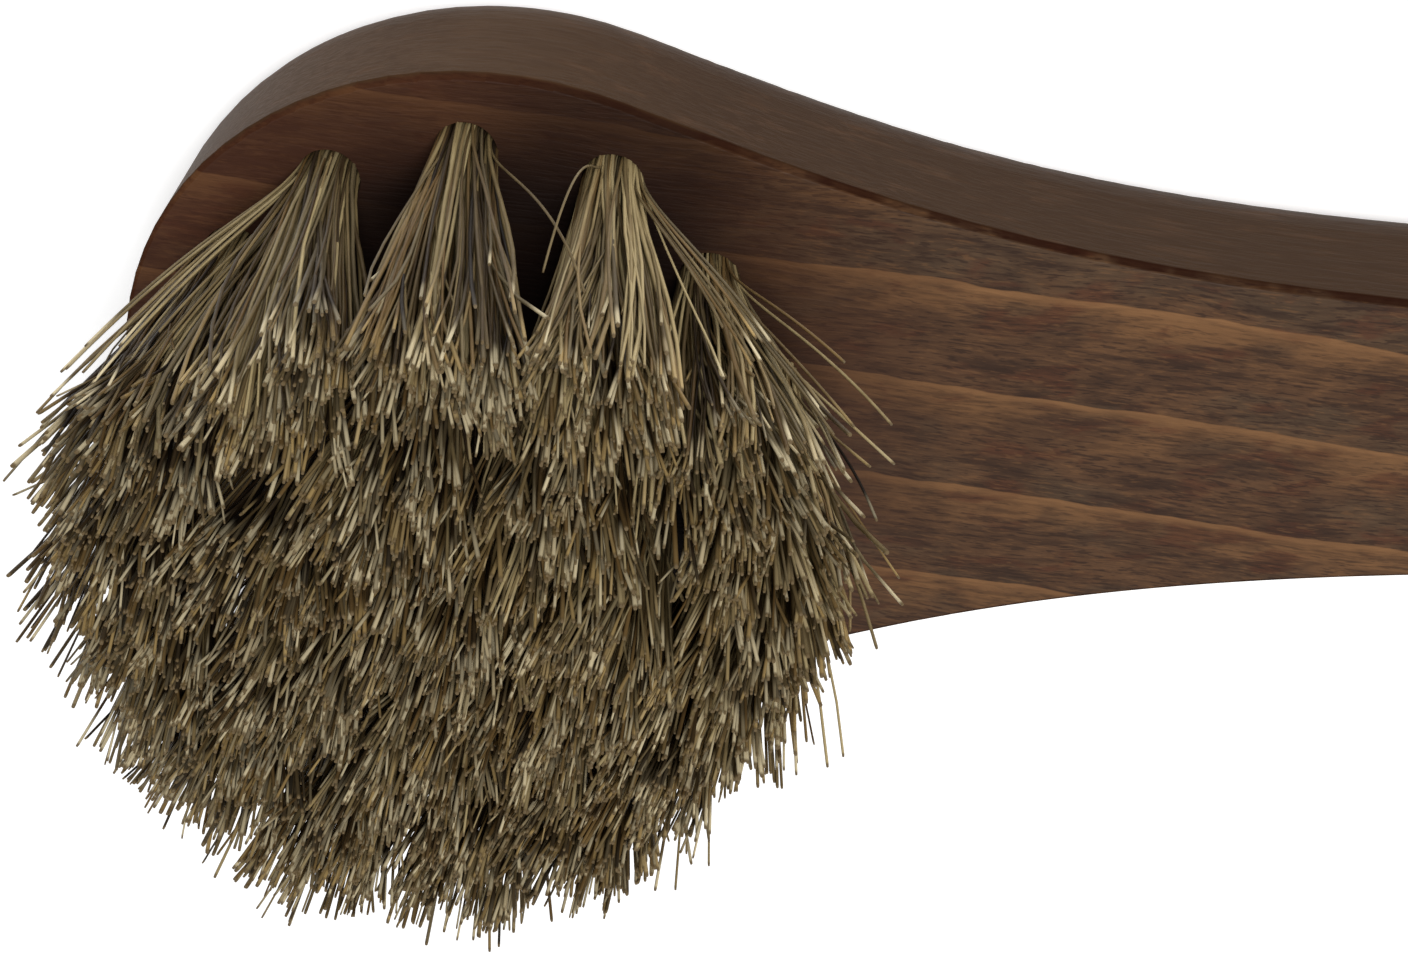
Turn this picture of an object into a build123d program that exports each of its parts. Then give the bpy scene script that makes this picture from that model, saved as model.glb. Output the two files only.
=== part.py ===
from build123d import *
import math
import os

# A small staple-set dry brush: one paddle-shaped wooden block with blind holes in the round head,
# a folded tuft of horsehair in every hole, and a flat-wire anchor across each fold.
# Millimetres. Origin: centre of the round head, on the flat back. +Z: the way the hair points.
# +X: along the handle.

# Block outline
HEAD_RADIUS = 21.0
NECK_START_X = 8.0          # where the neck curve leaves the head's circle
NECK_HEAD_PULL = 16.4       # how far the neck carries the circle's direction on
NECK_WAIST_PULL = 38.4      # how far it comes in level with the waist
WAIST_X = 73.0
WAIST_HALF_WIDTH = 8.0
GRIP_HALF_WIDTH = 9.4
GRIP_END_LENGTH = 14.0      # length of the elliptical end
HANDLE_REACH = 146.0        # head centre to the handle's tip
GRIP_PULL = 26.0

# Block section
BLOCK_THICKNESS = 12.0
BACK_ROUND = 5.5
FACE_ARRIS = 0.35

# Holes
HOLE_DIAMETER = 3.2
HOLE_DEPTH = 7.6            # full-diameter depth, before the drill point
DRILL_POINT_DEPTH = 0.8
RIM_MARGIN = 4.2            # head's edge to the centres of the outer holes
NECK_SIDE_INSET = 1.5       # how much further in the outer holes on the neck's side sit
NECK_SIDE_ANGLE = 45.0      # degrees from the handle's line that count as the neck's side
RING_COUNTS = (14, 7, 1)    # outer ring, middle ring, centre

# Hair
TRIM_HEIGHT = 20.0          # bristle face to the cut tips
TIP_SPREAD = 1.03           # how much wider the ring of tips is than the ring of holes
TUFT_GAP = 0.3              # between neighbouring tufts at the tips
TUFT_CLEARANCE = 0.03       # tuft to the wall of its hole
FOLD_ROUND = 1.0            # round under the fold of the tuft
FOLD_THICKNESS = 1.2        # hair under the anchor

# Anchor
ANCHOR_WIDTH = 1.6
ANCHOR_THICKNESS = 0.35
ANCHOR_BITE = 0.3           # how far each end bites into the wood
ANCHOR_CLEARANCE = 0.02
ANCHOR_CORNER = 0.1

HOLE_RADIUS = HOLE_DIAMETER / 2
TUFT_RADIUS = HOLE_RADIUS - TUFT_CLEARANCE
ANCHOR_LENGTH = HOLE_DIAMETER + 2 * ANCHOR_BITE
HOLE_FLOOR_Z = BLOCK_THICKNESS - HOLE_DEPTH
ANCHOR_Z = HOLE_FLOOR_Z + FOLD_THICKNESS + ANCHOR_WIDTH / 2
TIP_Z = BLOCK_THICKNESS + TRIM_HEIGHT


def hole_centres():
    """Centres of the holes, ring by ring from the outside in, each ring staggered on the last."""
    outer_radius = HEAD_RADIUS - RIM_MARGIN
    ring_step = outer_radius / (len(RING_COUNTS) - 1)
    half_pitch = math.pi / RING_COUNTS[0]
    neck_side = math.cos(math.radians(NECK_SIDE_ANGLE))
    centres = []
    for ring, count in enumerate(RING_COUNTS):
        radius = outer_radius - ring * ring_step
        start = math.pi / 2 + ring * half_pitch
        for index in range(count):
            angle = start + 2 * math.pi * index / count
            inset = NECK_SIDE_INSET if ring == 0 and math.cos(angle) > neck_side else 0
            reach = radius - inset
            centres.append((reach * math.cos(angle), reach * math.sin(angle)))
    return centres


def tip_centre(centre):
    """Where the middle of a tuft's cut end stands over its hole."""
    return centre[0] * TIP_SPREAD, centre[1] * TIP_SPREAD


def tip_radius(centres):
    """The widest cut end that keeps the gap between all neighbours."""
    tips = [tip_centre(centre) for centre in centres]
    pitches = [math.dist(a, b) for i, a in enumerate(tips) for b in tips[i + 1:]]
    return (min(pitches) - TUFT_GAP) / 2


def half_outline():
    """One side of the paddle's outline, from the head's far point round to the handle's tip."""
    neck_y = math.sqrt(HEAD_RADIUS**2 - NECK_START_X**2)
    away = Vector(neck_y, -NECK_START_X).normalized()
    neck_start = Vector(NECK_START_X, neck_y)
    waist = Vector(WAIST_X, WAIST_HALF_WIDTH)
    grip = Vector(HANDLE_REACH - GRIP_END_LENGTH, GRIP_HALF_WIDTH)
    middle_angle = (math.pi + math.atan2(neck_y, NECK_START_X)) / 2
    head_middle = Vector(math.cos(middle_angle), math.sin(middle_angle)) * HEAD_RADIUS
    head = ThreePointArc((-HEAD_RADIUS, 0), head_middle, neck_start)
    neck = Bezier(
        neck_start,
        neck_start + away * NECK_HEAD_PULL,
        waist - Vector(NECK_WAIST_PULL, 0),
        waist,
    )
    swell = Bezier(waist, waist + Vector(GRIP_PULL, 0), grip - Vector(GRIP_PULL, 0), grip)
    end = EllipticalCenterArc(
        (grip.X, 0),
        GRIP_END_LENGTH,
        GRIP_HALF_WIDTH,
        arc_size=90,
    )
    return [head, neck, swell, end]


def paddle():
    """The wooden blank: the outline pulled up to its thickness, with rounded edges."""
    side = half_outline()
    other_side = [mirror(edge, about=Plane.XZ) for edge in side]
    face = make_face(side + other_side)
    blank = extrude(face, amount=BLOCK_THICKNESS)
    tip_curve_radius = GRIP_HALF_WIDTH**2 / GRIP_END_LENGTH
    thinnest = min(WAIST_HALF_WIDTH, tip_curve_radius, BLOCK_THICKNESS - FACE_ARRIS)
    back_edges = blank.faces().sort_by(Axis.Z)[0].edges()
    blank = fillet(back_edges, min(BACK_ROUND, 0.9 * thinnest))
    rim_edges = blank.faces().sort_by(Axis.Z)[-1].edges()
    return fillet(rim_edges, FACE_ARRIS)


def hole(centre):
    """One drilled hole with its drill point."""
    barrel = Cylinder(HOLE_RADIUS, HOLE_DEPTH, align=(Align.CENTER, Align.CENTER, Align.MIN))
    point = Cone(
        0,
        HOLE_RADIUS,
        DRILL_POINT_DEPTH,
        align=(Align.CENTER, Align.CENTER, Align.MAX),
    )
    return Pos(centre[0], centre[1], HOLE_FLOOR_Z) * (barrel + point)


def anchor(centre, clearance=0.0):
    """The flat wire across one tuft's fold; with a clearance, the room that it takes."""
    grow = 2 * clearance
    bar = Box(ANCHOR_THICKNESS + grow, ANCHOR_LENGTH + grow, ANCHOR_WIDTH + grow)
    if clearance == 0:
        bar = chamfer(bar.edges().filter_by(Axis.Y), ANCHOR_CORNER)
    return Pos(centre[0], centre[1], ANCHOR_Z) * bar


def block(centres):
    """The paddle with its holes and the bites that the anchors make in their walls."""
    cuts = []
    for centre in centres:
        cuts.append(hole(centre))
        cuts.append(anchor(centre, ANCHOR_CLEARANCE))
    return paddle() - cuts


def hair_tuft(centre, cut_radius):
    """One folded bundle: round in its hole, fanning out to its cut end."""
    root = Cylinder(
        TUFT_RADIUS,
        HOLE_DEPTH - TUFT_CLEARANCE,
        align=(Align.CENTER, Align.CENTER, Align.MIN),
    )
    root = fillet(root.edges().sort_by(Axis.Z)[0], FOLD_ROUND)
    root = Pos(centre[0], centre[1], HOLE_FLOOR_Z + TUFT_CLEARANCE) * root
    tip = tip_centre(centre)
    mouth_circle = Pos(centre[0], centre[1], BLOCK_THICKNESS) * Circle(TUFT_RADIUS)
    tip_circle = Pos(tip[0], tip[1], TIP_Z) * Circle(cut_radius)
    fan = loft([mouth_circle, tip_circle], ruled=True)
    return root + fan - anchor(centre, ANCHOR_CLEARANCE)


def main():
    """Builds every piece and writes one STEP file for each."""
    os.makedirs("parts", exist_ok=True)
    centres = hole_centres()
    cut_radius = tip_radius(centres)
    export_step(block(centres), "parts/block.step")
    for number, centre in enumerate(centres, start=1):
        export_step(hair_tuft(centre, cut_radius), f"parts/hair_tuft_{number:02d}.step")
        export_step(anchor(centre), f"parts/anchor_{number:02d}.step")


main()
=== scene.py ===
"""Looks of a small round-headed dry brush: stained wood paddle, horsehair tufts and their flat-wire anchors.

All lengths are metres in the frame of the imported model: the head's centre on the flat back is the origin,
+Z is the way the hair points and +X runs along the handle. Sizes that are easier to read in millimetres
are written as a number times MM.
"""

import logging
import math
from dataclasses import dataclass, field
from enum import Enum

import bpy
import numpy as np
from mathutils import Matrix, Vector


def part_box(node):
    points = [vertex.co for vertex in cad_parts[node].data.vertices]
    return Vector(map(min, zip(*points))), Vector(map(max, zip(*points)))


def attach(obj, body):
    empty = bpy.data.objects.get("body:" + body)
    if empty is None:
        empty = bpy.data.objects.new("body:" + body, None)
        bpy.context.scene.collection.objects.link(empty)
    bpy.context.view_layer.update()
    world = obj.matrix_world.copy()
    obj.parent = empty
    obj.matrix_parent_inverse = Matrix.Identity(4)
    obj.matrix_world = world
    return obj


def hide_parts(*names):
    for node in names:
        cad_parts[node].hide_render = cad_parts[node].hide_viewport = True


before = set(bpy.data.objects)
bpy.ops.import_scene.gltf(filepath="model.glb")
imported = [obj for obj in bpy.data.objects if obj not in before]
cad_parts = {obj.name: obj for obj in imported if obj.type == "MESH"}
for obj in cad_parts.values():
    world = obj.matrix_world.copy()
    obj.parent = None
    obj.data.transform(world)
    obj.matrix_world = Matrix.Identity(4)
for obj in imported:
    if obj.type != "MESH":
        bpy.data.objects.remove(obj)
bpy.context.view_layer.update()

MM = 0.001
BODY = "root"
FIRST_SEED = 1000
SPARE_PLACES = 4            # places tried at the brush's end for each one that is needed
GOLDEN_SHARE = 3 - math.sqrt(5)     # the golden angle over half a turn
HOLE_SHARE = 3.2 / 3.8      # the hole's diameter over the anchor's length, which bites into its wall
FOLD_DROP = 0.35 * MM       # from the wire's lower edge to the middle of the hair under it
Faces = list[tuple[int, ...]]
log = logging.getLogger("dry_brush")


class Slot(Enum):
    """Material slots of the record that the pieces take their finish from."""

    WOOD = "stained_wood"
    HAIR = "horsehair"
    WIRE = "anchor_wire"


def srgb(red: float, green: float, blue: float) -> tuple[float, float, float, float]:
    """Turns a colour read on a 0 to 255 scale into the linear colour that shaders use.

    Args:
        red: red on a 0 to 255 scale.
        green: green on a 0 to 255 scale.
        blue: blue on a 0 to 255 scale.

    Returns:
        Linear red, green, blue and an alpha of 1.
    """
    linear = []
    for value in (red, green, blue):
        share = value / 255
        linear.append(share / 12.92 if share <= 0.04045 else ((share + 0.055) / 1.055) ** 2.4)
    return linear[0], linear[1], linear[2], 1.0


# ---------------------------------------------------------------------------------------------------------
# Node graphs
# ---------------------------------------------------------------------------------------------------------


@dataclass(frozen=True)
class Layer:
    """How strongly a mask lays one colour over another.

    Attributes:
        low: the mask's value where the colour starts to show.
        high: the mask's value where it shows fully; it may be the smaller of the two.
        share: how strongly it shows there.
        gain: how much more it shows where a second mask is full.
    """

    low: float
    high: float
    share: float = 1.0
    gain: float = 0.0


class Graph:
    """A thin helper that adds and joins the nodes of one tree."""

    def __init__(self, tree: bpy.types.NodeTree) -> None:
        """Keeps the tree and empties it."""
        self.tree = tree
        tree.nodes.clear()

    def add(self, kind: str, settings: dict | None = None, **inputs: object) -> bpy.types.Node:
        """Adds a node, sets its properties and fills its inputs.

        Args:
            kind: Blender's name for the node's type.
            settings: properties of the node, such as its operation.
            **inputs: values or output sockets by input name, with underscores for spaces.

        Returns:
            The new node.
        """
        node = self.tree.nodes.new(kind)
        for name, value in (settings or {}).items():
            setattr(node, name, value)
        for name, value in inputs.items():
            self.fill(node.inputs[name.replace("_", " ")], value)
        return node

    def fill(self, socket: bpy.types.NodeSocket, value: object) -> None:
        """Links an output to a socket, or sets the socket's own value.

        Args:
            socket: the input to fill.
            value: a number, a colour or an output socket.
        """
        if isinstance(value, bpy.types.NodeSocket):
            self.tree.links.new(value, socket)
        else:
            socket.default_value = value

    def math(self, operation: str, *values: object, clamp: bool = False) -> bpy.types.NodeSocket:
        """Adds a Math node.

        Args:
            operation: the node's operation.
            *values: numbers or sockets for its inputs.
            clamp: whether the result is kept between 0 and 1.

        Returns:
            The result's socket.
        """
        node = self.add("ShaderNodeMath", {"operation": operation, "use_clamp": clamp})
        for socket, value in zip(node.inputs, values):
            self.fill(socket, value)
        return node.outputs[0]

    def times(self, first: object, second: object) -> bpy.types.NodeSocket:
        """Multiplies two values."""
        return self.math("MULTIPLY", first, second)

    def scaled(self, value: object, factor: object, offset: object) -> bpy.types.NodeSocket:
        """Multiplies a value by a factor and adds an offset."""
        return self.math("MULTIPLY_ADD", value, factor, offset)

    def vector(self, operation: str, *values: object) -> bpy.types.NodeOutputs:
        """Adds a Vector Math node.

        Args:
            operation: the node's operation.
            *values: vectors or sockets for its inputs.

        Returns:
            The node's outputs.
        """
        node = self.add("ShaderNodeVectorMath", {"operation": operation})
        for socket, value in zip(node.inputs, values):
            self.fill(socket, value)
        return node.outputs

    def mix(self, factor: object, first: object, second: object) -> bpy.types.NodeSocket:
        """Mixes two colours.

        Args:
            factor: share of the second colour.
            first: the colour or socket under it.
            second: the colour or socket on top.

        Returns:
            The mixed colour's socket.
        """
        node = self.add("ShaderNodeMix", {"data_type": "RGBA"}, Factor=factor)
        self.fill(node.inputs[6], first)
        self.fill(node.inputs[7], second)
        return node.outputs[2]

    def ramp(self, value: object, low: float, high: float) -> bpy.types.NodeSocket:
        """Spreads the stretch of a value from low to high over 0 to 1, with soft ends.

        Args:
            value: the value's socket.
            low: the value that becomes 0.
            high: the value that becomes 1.

        Returns:
            The spread value's socket.
        """
        settings = {"interpolation_type": "SMOOTHSTEP"}
        node = self.add("ShaderNodeMapRange", settings, Value=value, From_Min=low, From_Max=high)
        return node.outputs["Result"]

    def shown(self, layer: Layer, mask: object, second: object | None = None) -> bpy.types.NodeSocket:
        """Finds how strongly a layer shows.

        Args:
            layer: the stretch of the mask that counts, and its strength.
            mask: the mask's socket.
            second: the mask that brings the layer's gain, if it has one.

        Returns:
            The strength's socket.
        """
        spread = self.ramp(mask, layer.low, layer.high)
        if second is None:
            return self.times(spread, layer.share)
        return self.times(spread, self.scaled(second, layer.gain, layer.share))

    def stretch(self, vector: object, scale: tuple[float, float, float]) -> bpy.types.NodeSocket:
        """Scales a coordinate with a Mapping node."""
        return self.add("ShaderNodeMapping", None, Vector=vector, Scale=scale).outputs["Vector"]

    def split(self, vector: object) -> bpy.types.NodeOutputs:
        """Gives a coordinate's X, Y and Z."""
        return self.add("ShaderNodeSeparateXYZ", None, Vector=vector).outputs

    def millimetres(self) -> bpy.types.NodeSocket:
        """Gives the point on the object, in millimetres."""
        place = self.add("ShaderNodeTexCoord")
        return self.stretch(place.outputs["Object"], (1 / MM, 1 / MM, 1 / MM))

    def noise(self, vector: object, detail: object = 2.0, rough: float = 0.5,
              distortion: float = 0.0) -> bpy.types.NodeSocket:
        """Adds a noise texture of unit scale.

        Args:
            vector: the coordinate that it reads.
            detail: how many finer copies it adds.
            rough: how strong those copies are.
            distortion: how far it is pulled about.

        Returns:
            The noise's socket.
        """
        return self.add("ShaderNodeTexNoise", None, Vector=vector, Scale=1.0, Detail=detail, Roughness=rough,
                        Distortion=distortion).outputs[0]

    def surface(self, shader: bpy.types.Node, height: object, strength: float, depth: float) -> None:
        """Gives a shader its fine relief and makes it the surface.

        Args:
            shader: the finish's shader.
            height: the relief's socket.
            strength: the relief's strength.
            depth: its depth, in metres.
        """
        bump = self.add("ShaderNodeBump", None, Strength=strength, Distance=depth, Height=height)
        self.fill(shader.inputs["Normal"], bump.outputs[0])
        self.add("ShaderNodeOutputMaterial", None, Surface=shader.outputs[0])


def new_material(name: str) -> tuple[bpy.types.Material, Graph]:
    """Makes an empty material.

    Args:
        name: the material's name.

    Returns:
        The material, and the graph that fills it.
    """
    material = bpy.data.materials.new(name)
    material.use_nodes = True
    return material, Graph(material.node_tree)


class EffectGroup:
    """A shader node group with named inputs and outputs, built once and shared by the finishes.

    Each effect has its name, its number inputs with their usual values, and the names of its outputs.
    """

    name: str
    numbers: dict[str, float]
    outputs: tuple[str, ...]

    def tree(self) -> bpy.types.NodeTree:
        """Gives the group's tree, and builds it the first time.

        Returns:
            The tree.
        """
        found = bpy.data.node_groups.get(self.name)
        if found:
            return found
        tree = bpy.data.node_groups.new(self.name, "ShaderNodeTree")
        graph = Graph(tree)
        tree.interface.new_socket("Vector", in_out="INPUT", socket_type="NodeSocketVector")
        for label, value in self.numbers.items():
            socket = tree.interface.new_socket(label, in_out="INPUT", socket_type="NodeSocketFloat")
            socket.default_value = value
        for label in self.outputs:
            tree.interface.new_socket(label, in_out="OUTPUT", socket_type="NodeSocketFloat")
        entry = graph.add("NodeGroupInput")
        leave = graph.add("NodeGroupOutput")
        for label, result in zip(self.outputs, self.build(graph, entry.outputs)):
            graph.fill(leave.inputs[label], result)
        return tree

    def build(self, graph: Graph, given: bpy.types.NodeOutputs) -> tuple[bpy.types.NodeSocket, ...]:
        """Fills the group; each effect has its own."""
        raise NotImplementedError

    def place(self, graph: Graph, **inputs: object) -> bpy.types.NodeOutputs:
        """Places the group in a material's tree and fills its inputs.

        Args:
            graph: the tree to place it in.
            **inputs: values or sockets by input name, with underscores for spaces.

        Returns:
            The placed group's outputs.
        """
        return graph.add("ShaderNodeGroup", {"node_tree": self.tree()}, **inputs).outputs


class GrowthBands(EffectGroup):
    """Growth rings sawn lengthways: each band starts pale at a sharp wandering line and slowly darkens."""

    name = "growth_bands"
    numbers = {"Band Width": 6.45, "First Line": 0.3, "Slope": 0.145, "Wander": 1.4}
    outputs = ("Fade", "Line")
    slow_scale = (0.035, 0.06, 0.05)
    fast_scale = (0.22, 0.5, 0.4)
    fast_wander = 0.7
    line_starts = (0.0, 0.012)
    line_ends = (0.10, 0.02)

    def build(self, graph: Graph, given: bpy.types.NodeOutputs) -> tuple[bpy.types.NodeSocket, ...]:
        """Measures how far a point lies below its band's line, as a share of the band's width.

        Args:
            graph: the group's graph.
            given: the group's inputs.

        Returns:
            That share, and a mask of the line.
        """
        spot = graph.split(given["Vector"])
        slow = graph.noise(graph.stretch(given["Vector"], self.slow_scale), 1.0)
        fast = graph.noise(graph.stretch(given["Vector"], self.fast_scale), 2.0)
        slow_offset = graph.times(graph.math("SUBTRACT", slow, 0.5), given["Wander"])
        fast_offset = graph.times(graph.math("SUBTRACT", fast, 0.5), self.fast_wander)
        across = graph.scaled(spot["X"], given["Slope"], spot["Y"])
        across = graph.math("ADD", across, graph.math("ADD", slow_offset, fast_offset))
        below = graph.math("SUBTRACT", given["First Line"], across)
        share = graph.math("FRACT", graph.math("DIVIDE", below, given["Band Width"]))
        line = graph.times(graph.ramp(share, *self.line_starts), graph.ramp(share, *self.line_ends))
        return share, line


class Fibres(EffectGroup):
    """Fine streaks that run along the handle, as wood fibres do."""

    name = "wood_fibres"
    numbers = {"Length": 6.0, "Width": 0.35, "Detail": 4.0, "Slope": 0.11}
    outputs = ("Streak",)
    warp_scale = (0.08, 0.3, 0.3)
    warp_width = 1.2
    rough = 0.6

    def build(self, graph: Graph, given: bpy.types.NodeOutputs) -> tuple[bpy.types.NodeSocket, ...]:
        """Reads a noise that is long along X and narrow across it.

        Args:
            graph: the group's graph.
            given: the group's inputs.

        Returns:
            The streaks.
        """
        along = graph.math("DIVIDE", 1.0, given["Length"])
        across = graph.math("DIVIDE", 1.0, given["Width"])
        scale = graph.add("ShaderNodeCombineXYZ", None, X=along, Y=across, Z=across)
        warp = graph.noise(graph.stretch(given["Vector"], self.warp_scale), 1.0)
        slope = graph.times(graph.split(given["Vector"])["X"], given["Slope"])
        bend = graph.add("ShaderNodeCombineXYZ", None, Y=graph.scaled(warp, self.warp_width, slope))
        bent = graph.vector("ADD", given["Vector"], bend.outputs[0])[0]
        point = graph.vector("MULTIPLY", bent, scale.outputs[0])[0]
        return (graph.noise(point, given["Detail"], self.rough),)


class Blotches(EffectGroup):
    """Soft patches where stain soaked in more deeply."""

    name = "stain_blotches"
    numbers = {"Size": 3.0, "Seed": 0.0}
    outputs = ("Patch",)
    narrowness = 0.42
    detail = 4.0
    rough = 0.55
    distortion = 0.4

    def build(self, graph: Graph, given: bpy.types.NodeOutputs) -> tuple[bpy.types.NodeSocket, ...]:
        """Reads a noise more than twice as long as it is wide.

        Args:
            graph: the group's graph.
            given: the group's inputs.

        Returns:
            The patches.
        """
        across = graph.math("DIVIDE", 1.0, given["Size"])
        along = graph.times(across, self.narrowness)
        sides = graph.add("ShaderNodeCombineXYZ", None, X=along, Y=across, Z=across)
        shift = graph.add("ShaderNodeCombineXYZ", None, X=given["Seed"], Y=given["Seed"])
        point = graph.vector("MULTIPLY_ADD", given["Vector"], sides.outputs[0], shift.outputs[0])[0]
        return (graph.noise(point, self.detail, self.rough, self.distortion),)


# ---------------------------------------------------------------------------------------------------------
# Finishes
# ---------------------------------------------------------------------------------------------------------


@dataclass(frozen=True)
class StainedWood:
    """Walnut-stained close-grained wood with a thin satin finish.

    Places are in millimetres. The layers of the edge read the depth under the bristle face, those that
    reach read the distance from the head's axis or from the dark spot, and the rest read the mask
    that they are named for. The layers round and between the tufts, and the edge band's darkening towards
    the handle, are painted shade.
    """

    name: str = "stained_wood"
    pale: tuple = srgb(116, 82, 52)
    middle: tuple = srgb(88, 62, 42)
    dark: tuple = srgb(48, 33, 25)
    line: tuple = srgb(134, 96, 62)
    grey: tuple = srgb(80, 65, 49)
    red: tuple = srgb(76, 41, 27)
    side: tuple = srgb(76, 56, 39)
    # darker edge colour, for its blotches and for the painted shade along the handle
    side_dark: tuple = srgb(58, 40, 25)
    arris: tuple = srgb(36, 17, 11)
    # painted shade: colour of the bristle face round the tufts, where the hair shades it
    painted_shade: tuple = srgb(54, 33, 23)
    # near-black brown: painted shade between the tufts, and the darker spot near the rim
    near_black: tuple = srgb(20, 12, 9)
    face_z: float = 12.0
    # middle of a darker spot on the bristle face near the +Y rim, in millimetres
    dark_spot: tuple = (8.0, 16.5, 12.0)
    face_shine: float = 0.14
    side_shine: float = 0.04
    rough: float = 0.40
    rough_gain: float = 0.22
    pores: Layer = Layer(0.3, 0.62)
    pore_strength: float = 0.35
    pore_depth: float = 0.05 * MM
    face_edge: Layer = Layer(0.38, 0.16)
    back_height: Layer = Layer(2.6, 0.7)
    round_low: Layer = Layer(0.5, 0.35)
    round_high: Layer = Layer(0.002, 0.02)
    loose_edge: Layer = Layer(0.0, 0.25)
    band_fade: Layer = Layer(-0.05, 0.5)
    late_growth: Layer = Layer(0.5, 1.0)
    deep_patches: Layer = Layer(0.42, 0.64, 0.3, 0.5)
    grey_patches: Layer = Layer(0.47, 0.62, 0.0, 0.5)
    red_patches: Layer = Layer(0.52, 0.66, 0.6)
    broad_streaks: Layer = Layer(0.5, 0.66, 0.12, 0.5)
    fine_streaks: Layer = Layer(0.44, 0.62, 0.4)
    dark_flecks: Layer = Layer(0.54, 0.63, 0.35, 0.4)
    pale_glints: Layer = Layer(0.42, 0.33, 0.35)
    line_share: float = 0.5
    red_head: Layer = Layer(24.0, 2.0, 0.5)
    front_height: Layer = Layer(6.0, 10.0)
    # painted shade round the tufts, weaker on the -X side and fading out beyond 28 mm from the head's axis
    painted_shade_side: Layer = Layer(-15.0, -7.0)
    painted_shade_reach: Layer = Layer(28.0, 17.0, 0.15, 0.4)
    # the darker spot near the +Y rim, within 10 mm of its middle
    dark_spot_reach: Layer = Layer(10.0, 3.0, 0.6)
    # painted shade between the tufts, strongest within 14 mm of the head's axis
    between_tufts_shade_reach: Layer = Layer(19.5, 14.0, 0.9)
    side_patches: Layer = Layer(0.4, 0.7, 0.5)
    # painted shade: the edge band darker towards the handle
    side_shade_towards_handle: Layer = Layer(-6.0, 14.0)
    side_pale_streaks: Layer = Layer(0.48, 0.3, 0.35)
    side_dark_streaks: Layer = Layer(0.4, 0.75, 0.3)
    arris_high: Layer = Layer(-0.02, 0.06)
    arris_low: Layer = Layer(0.52, 0.3)
    arris_breaks: Layer = Layer(0.34, 0.58, 0.65)
    arris_break_scale: tuple = (0.3, 0.3, 0.0)
    arris_least: float = 0.25
    arris_neck: Layer = Layer(-2.0, 16.0, 0.8)
    arris_head: float = 0.2

    def material(self) -> bpy.types.Material:
        """Builds the finish.

        Returns:
            The wood material.
        """
        material, graph = new_material(self.name)
        point = graph.millimetres()
        spot = graph.split(point)
        depth = graph.math("SUBTRACT", self.face_z, spot["Z"])
        fine = Fibres().place(graph, Vector=point, Length=2.6, Width=0.26)["Streak"]
        broad = Fibres().place(graph, Vector=point, Length=5.5, Width=0.9, Detail=4.0)["Streak"]
        sawn = self.sawn_colour(graph, point, spot, fine, broad)
        sanded = self.side_colour(graph, point, spot, fine, broad)
        face = graph.shown(self.face_edge, depth)
        flat = graph.math("MAXIMUM", face, graph.shown(self.back_height, spot["Z"]))
        colour = graph.mix(flat, sanded, sawn)
        colour = graph.mix(self.arris_mask(graph, point, spot, depth), colour, self.arris)
        shader = graph.add("ShaderNodeBsdfPrincipled", None, Base_Color=colour)
        graph.fill(shader.inputs["Roughness"], graph.scaled(fine, self.rough_gain, self.rough))
        shine = graph.scaled(flat, self.face_shine - self.side_shine, self.side_shine)
        rounded = graph.times(graph.shown(self.round_low, depth), graph.shown(self.round_high, depth))
        shine = graph.times(shine, graph.math("SUBTRACT", 1.0, rounded))
        graph.fill(shader.inputs["Specular IOR Level"], shine)
        graph.surface(shader, graph.shown(self.pores, fine), self.pore_strength, self.pore_depth)
        return material

    def sawn_colour(self, graph: Graph, point: object, spot: bpy.types.NodeOutputs, fine: object,
                    broad: object) -> bpy.types.NodeSocket:
        """Colours the flat faces: growth bands, blotches, short dark streaks, the head's red tint, painted
        shade on the bristle face round and between the tufts, and a darker spot near the rim.

        Args:
            graph: the material's graph.
            point: the coordinate in millimetres.
            spot: the same coordinate, split.
            fine: narrow fibre streaks.
            broad: wide fibre streaks.

        Returns:
            The colour's socket.
        """
        bands = GrowthBands().place(graph, Vector=point)
        deep = Blotches().place(graph, Vector=point, Size=2.2, Seed=3.0)["Patch"]
        cool = Blotches().place(graph, Vector=point, Size=4.5, Seed=17.0)["Patch"]
        warm = Blotches().place(graph, Vector=point, Size=1.7, Seed=41.0)["Patch"]
        dashes = Fibres().place(graph, Vector=point, Length=1.1, Width=0.17, Detail=2.0)["Streak"]
        loosen = graph.times(graph.shown(self.loose_edge, bands["Fade"]), graph.math("SUBTRACT", deep, 0.5))
        fade = graph.shown(self.band_fade, graph.math("ADD", bands["Fade"], loosen))
        late = graph.shown(self.late_growth, bands["Fade"])
        reach = graph.vector("LENGTH", graph.stretch(point, (1.0, 1.0, 0.0)))["Value"]
        spot_distance = graph.vector("DISTANCE", point, self.dark_spot)["Value"]
        front = graph.shown(self.front_height, spot["Z"])
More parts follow.
